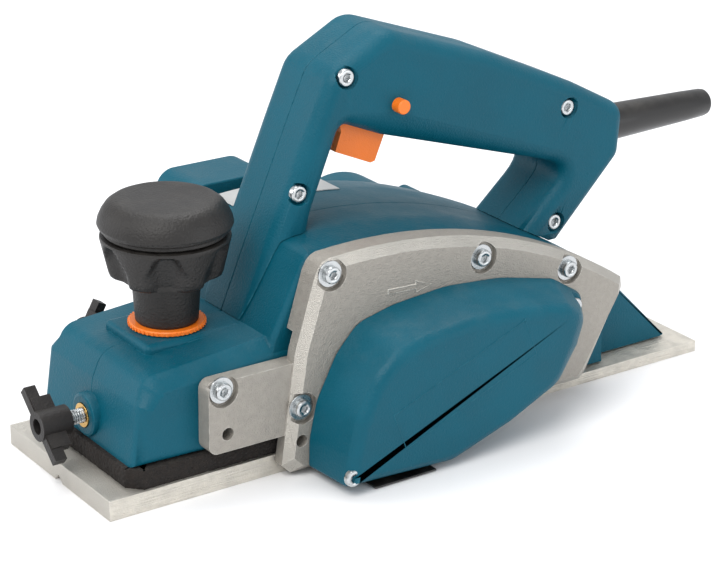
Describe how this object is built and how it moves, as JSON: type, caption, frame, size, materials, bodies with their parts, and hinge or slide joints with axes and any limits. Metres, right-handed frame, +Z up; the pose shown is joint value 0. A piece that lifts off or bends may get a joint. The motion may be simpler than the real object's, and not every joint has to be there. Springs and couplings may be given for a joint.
{
  "type": "electric hand planer",
  "caption": "Corded electric hand planer with split aluminium soles, side belt cover, depth knob, D handle with trigger, and clamps for guides.",
  "frame": {"origin": "middle of the base's length and width, on the running face of the rear sole", "axes": "+X towards the cord guard at the back, -Y towards the belt cover, +Z up"},
  "size_m": [0.3425, 0.149, 0.1656],
  "materials": {
    "teal_housing": "fine spark-eroded moulded texture",
    "cast_aluminium": "die cast, satin",
    "machined_aluminium": "milled and extruded, fine lines",
    "black_plastic": "fine moulded texture",
    "black_rubber": "smooth satin",
    "gasket_foam": "closed-cell foam",
    "orange_plastic": "satin",
    "zinc_steel": "bright zinc plate",
    "ground_steel": "ground",
    "blade_steel": "honed",
    "core_steel": "stacked laminations",
    "copper_winding": "enamelled copper",
    "carbon": "pressed carbon",
    "brass": "turned",
    "label_silver": "printed foil, blank"
  },
  "bodies": {
    "housing": {"ball_bearings": "ground_steel", "bearing_plate": "cast_aluminium", "belt_cover": "teal_housing", "brass_insert": "brass", "brush_caps": "black_plastic", "brush_holders": "brass", "carbon_brushes": "carbon", "chip_chute": "teal_housing", "chip_duct": "black_plastic", "cord_clamp": "black_plastic", "cord_guard": "black_rubber", "cover_screws": "zinc_steel", "cover_strip": "black_rubber", "drive_belt": "black_rubber", "end_cap_screws": "zinc_steel", "guide_block": "cast_aluminium", "handle_left": "teal_housing", "handle_right": "teal_housing", "handle_screws": "zinc_steel", "housing_left": "teal_housing", "housing_right": "teal_housing", "motor_end_cap": "teal_housing", "nameplate": "label_silver", "plate_screws": "zinc_steel", "plate_washers": "zinc_steel", "rear_sole": "machined_aluminium", "shoe_gasket": "gasket_foam", "shoe_springs": "zinc_steel", "side_plate": "cast_aluminium", "sole_screws": "zinc_steel", "stator_coils": "copper_winding", "stator_core": "core_steel", "switch_block": "black_plastic", "trigger_pin": "zinc_steel"},
    "front_shoe": {"front_shoe": "machined_aluminium", "shoe_post": "machined_aluminium", "guide_pins": "zinc_steel"},
    "depth_knob": {"knob_cap": "black_plastic", "knob_body": "black_plastic", "depth_ring": "orange_plastic", "depth_spindle": "zinc_steel"},
    "cutter": {"cutter_drum": "machined_aluminium", "blades": "blade_steel", "blade_clamps": "machined_aluminium", "clamp_screws": "ground_steel", "drum_shaft": "ground_steel", "drum_pulley": "black_plastic"},
    "rotor": {"motor_shaft": "ground_steel", "armature_core": "core_steel", "armature_windings": "copper_winding", "commutator": "copper_winding", "fan": "black_plastic", "motor_pulley": "black_plastic"},
    "trigger": {"trigger": "orange_plastic"},
    "lock_button": {"lock_button": "orange_plastic"},
    "front_wing_screw": {"wing_knob_front": "black_plastic", "wing_stud_front": "zinc_steel"},
    "side_wing_screw": {"wing_knob_side": "black_plastic", "wing_stud_side": "zinc_steel"},
    "rebate_stop": {"rebate_stop": "zinc_steel"}
  },
  "joints": [
    {"name": "depth_knob_turn", "type": "hinge", "parent": "housing", "child": "depth_knob", "pos_m": [-0.0996, 0, 0.0565], "axis": [0, 0, -1], "range_deg": [0, 300]},
    {"name": "shoe_slide", "type": "slide", "parent": "housing", "child": "front_shoe", "axis": [0, 0, 1], "range_m": [0, 0.0025], "deforming": ["shoe_gasket", "shoe_springs"]},
    {"name": "drum_spin", "type": "hinge", "parent": "housing", "child": "cutter", "pos_m": [-0.038, 0, 0.024], "axis": [0, 1, 0], "continuous": true},
    {"name": "motor_spin", "type": "hinge", "parent": "housing", "child": "rotor", "pos_m": [0.027, 0, 0.0475], "axis": [0, 1, 0], "continuous": true},
    {"name": "trigger_pull", "type": "hinge", "parent": "housing", "child": "trigger", "pos_m": [-0.02, 0, 0.13], "axis": [0, -1, 0], "range_deg": [0, 8], "stiffness_Nm_per_rad": 0.25, "springref_deg": -14.32},
    {"name": "lock_press", "type": "slide", "parent": "housing", "child": "lock_button", "axis": [0, 1, 0], "range_m": [0, 0.004], "stiffness_N_per_m": 400, "springref_m": -0.002},
    {"name": "front_wing_turn", "type": "hinge", "parent": "housing", "child": "front_wing_screw", "pos_m": [-0.15, 0, 0.026], "axis": [1, 0, 0], "range_deg": [0, 270]},
    {"name": "side_wing_turn", "type": "hinge", "parent": "housing", "child": "side_wing_screw", "pos_m": [-0.106, 0.05, 0.034], "axis": [0, -1, 0], "range_deg": [0, 270]},
    {"name": "rebate_stop_slide", "type": "slide", "parent": "housing", "child": "rebate_stop", "axis": [0, 0, 1], "range_m": [0, 0.012]}
  ],
  "couplings": [
    {"joint": "depth_knob_turn", "follows": "shoe_slide", "rad_per_m": 2094.4},
    {"joint": "motor_spin", "follows": "drum_spin", "ratio": 1.7647}
  ]
}
